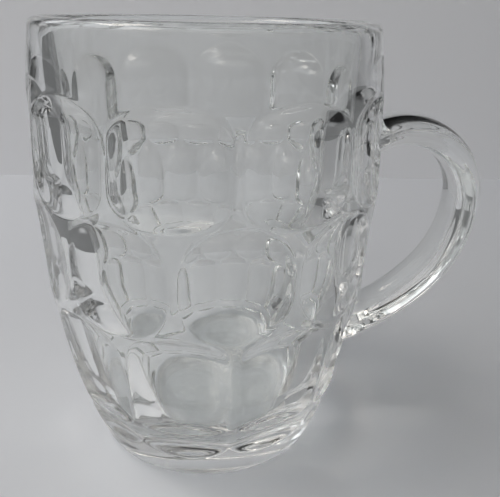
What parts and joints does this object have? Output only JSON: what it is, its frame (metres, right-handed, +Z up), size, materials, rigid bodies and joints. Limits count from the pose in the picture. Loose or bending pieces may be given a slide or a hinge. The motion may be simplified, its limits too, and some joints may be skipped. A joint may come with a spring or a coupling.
{
  "type": "dimpled glass beer mug",
  "caption": "Thick clear glass beer mug with rows of pressed oval dimples round a barrel-shaped body and a strap handle on one side.",
  "frame": {"origin": "the mug's own axis at table height, in the middle of the ring that the foot stands on", "axes": "+Z up along the mug's axis to the mouth, +X towards the handle"},
  "size_m": [0.1326, 0.1, 0.127],
  "materials": {
    "glass": "fire-polished clear glass"
  },
  "bodies": {
    "root": {"glass_body": "glass", "handle": "glass"}
  },
  "joints": []
}
